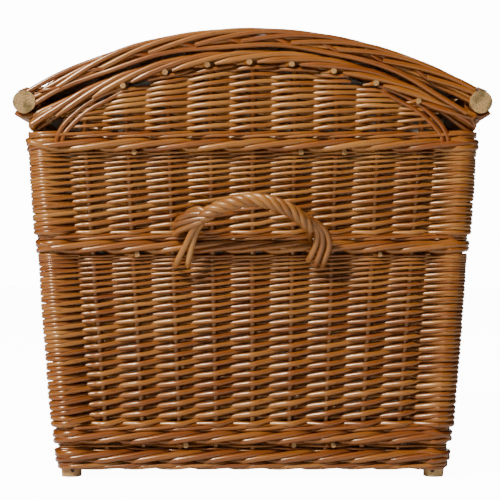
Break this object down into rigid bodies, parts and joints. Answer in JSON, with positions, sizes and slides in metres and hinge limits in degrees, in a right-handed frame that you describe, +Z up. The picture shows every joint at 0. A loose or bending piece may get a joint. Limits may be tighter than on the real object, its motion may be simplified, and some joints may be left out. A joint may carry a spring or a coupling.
{
  "type": "wicker picnic basket",
  "caption": "Domed-lid woven willow picnic chest on corner posts, with a hinged lid, roped end handles, a front loop and staple, and a cotton lining.",
  "frame": {"origin": "centre of the bounding box on the plane that the four feet stand on", "axes": "+Z up, +Y along the chest's length with the end at -Y nearest the viewer, +X from the opening front to the hinged back"},
  "size_m": [0.4666, 0.68, 0.43],
  "materials": {
    "willow_weave": "varnished woven willow rods, honey brown",
    "willow_stakes": "varnished willow rods, reddish brown",
    "willow_sticks": "peeled thick willow sticks with sawn ends",
    "willow_rope": "twisted willow, straw brown and fibrous",
    "cotton": "plain white cotton cloth",
    "iron": "dark iron nail"
  },
  "bodies": {
    "basket": {"back_stakes_and_border": "willow_stakes", "base_stick_1": "willow_sticks", "base_stick_2": "willow_sticks", "base_stick_3": "willow_sticks", "base_stick_4": "willow_sticks", "base_stick_5": "willow_sticks", "base_weave": "willow_weave", "bottom_band": "willow_weave", "cotton_lining": "cotton", "far_end_gable": "willow_weave", "far_end_handle": "willow_rope", "far_end_stakes_and_arch_border": "willow_stakes", "foot_nail_back_far": "iron", "foot_nail_back_near": "iron", "foot_nail_front_far": "iron", "foot_nail_front_near": "iron", "front_stakes_and_border": "willow_stakes", "front_staple": "willow_rope", "hinge_eye_1": "willow_rope", "hinge_eye_2": "willow_rope", "hinge_eye_3": "willow_rope", "lower_siding_back": "willow_weave", "lower_siding_far_end": "willow_weave", "lower_siding_front": "willow_weave", "lower_siding_near_end": "willow_weave", "middle_band": "willow_weave", "near_end_gable": "willow_weave", "near_end_handle": "willow_rope", "near_end_stakes_and_arch_border": "willow_stakes", "post_back_far": "willow_sticks", "post_back_near": "willow_sticks", "post_front_far": "willow_sticks", "post_front_near": "willow_sticks", "top_band": "willow_weave", "upper_siding_back": "willow_weave", "upper_siding_far_end": "willow_weave", "upper_siding_front": "willow_weave", "upper_siding_near_end": "willow_weave"},
    "lid": {"lid_back_stick": "willow_sticks", "lid_far_end_border": "willow_weave", "lid_front_stick": "willow_sticks", "lid_near_end_border": "willow_weave", "lid_stake_1": "willow_stakes", "lid_stake_2": "willow_stakes", "lid_stake_3": "willow_stakes", "lid_stake_4": "willow_stakes", "lid_stake_5": "willow_stakes", "lid_stake_6": "willow_stakes", "lid_stake_7": "willow_stakes", "lid_stake_8": "willow_stakes", "lid_stake_9": "willow_stakes", "lid_weave": "willow_weave"},
    "lid_loop": {"lid_loop": "willow_rope"}
  },
  "joints": [
    {"name": "lid_open", "type": "hinge", "parent": "basket", "child": "lid", "pos_m": [0.216, 0, 0.359], "axis": [0, 1, 0], "range_deg": [0, 110]},
    {"name": "lid_loop_swing", "type": "hinge", "parent": "lid", "child": "lid_loop", "pos_m": [-0.216, 0, 0.359], "axis": [0, 1, 0], "range_deg": [0, 140]}
  ]
}
